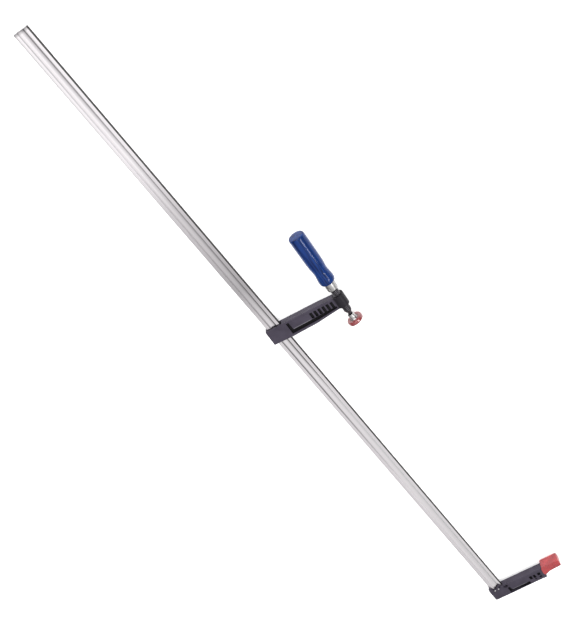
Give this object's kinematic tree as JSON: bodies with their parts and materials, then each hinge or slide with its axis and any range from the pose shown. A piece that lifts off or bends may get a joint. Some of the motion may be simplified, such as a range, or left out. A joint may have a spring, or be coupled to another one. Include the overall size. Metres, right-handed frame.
{
  "type": "f clamp",
  "caption": "Long f clamp: profiled steel rail, fixed jaw, sliding arm with a screw spindle, wooden handle and a swivel pad, for clamping wide work.",
  "frame": {"origin": "middle of the fixed jaw's clamping face, on its cap, in the clamp's mid-plane and in line with the middle of the throat's far side", "axes": "+X along the rail from its free end towards the fixed jaw and beyond, +Y from the rail towards the tips of the arms, +Z out of the clamp's flat front side"},
  "size_m": [1.6, 0.1766, 0.0306],
  "materials": {
    "rail_steel": "cold-drawn and zinc-plated, drawn along its length, semi-gloss",
    "cast_black": "satin black-grey powder coat on a cast surface",
    "pin_steel": "bare bright steel",
    "cap_red": "soft red moulded plastic, semi-gloss",
    "spindle_black": "black-oxide rolled thread, oiled",
    "handle_blue": "turned wood under glossy blue lacquer",
    "zinc": "bright zinc plating"
  },
  "bodies": {
    "rail": {"rail": "rail_steel", "fixed_jaw": "cast_black", "fixed_jaw_cap": "cap_red", "jaw_pin_1": "pin_steel", "jaw_pin_2": "pin_steel"},
    "grip": {"grip_pin": "pin_steel"},
    "arm": {"sliding_arm": "cast_black"},
    "swivel": {"retaining_ring": "pin_steel"},
    "spindle": {"spindle": "spindle_black", "handle": "handle_blue", "ferrule": "zinc", "handle_pin": "zinc"},
    "seat": {"ball_seat": "pin_steel"},
    "pad": {"pad_collar": "zinc", "pressure_plate": "zinc", "pad_cap": "cap_red"}
  },
  "joints": [
    {"name": "arm_slide", "type": "slide", "parent": "rail", "child": "grip", "axis": [1, 0, 0], "range_m": [-0.69, 0.774]},
    {"name": "arm_tilt", "type": "hinge", "parent": "grip", "child": "arm", "pos_m": [-0.84327, -0.1488, 0], "axis": [0, 0, 1], "range_deg": [0, 4]},
    {"name": "spindle_feed", "type": "slide", "parent": "arm", "child": "swivel", "axis": [0.9988, -0.0497, 0], "range_m": [-0.02101, 0.01201]},
    {"name": "spindle_turn", "type": "hinge", "parent": "swivel", "child": "spindle", "pos_m": [-0.80312, -0.00181, 0], "axis": [0.9988, -0.0497, 0], "range_deg": [-2520, 1440]},
    {"name": "pad_tilt_a", "type": "hinge", "parent": "swivel", "child": "seat", "pos_m": [-0.80312, -0.00181, 0], "axis": [0, 0, 1], "range_deg": [-15, 1]},
    {"name": "pad_tilt_b", "type": "hinge", "parent": "seat", "child": "pad", "pos_m": [-0.80312, -0.00181, 0], "axis": [-0.0724, 0.9974, 0], "range_deg": [-8, 8]}
  ],
  "couplings": [
    {"joint": "spindle_feed", "follows": "spindle_turn", "m_per_rad": 0.00047746}
  ]
}
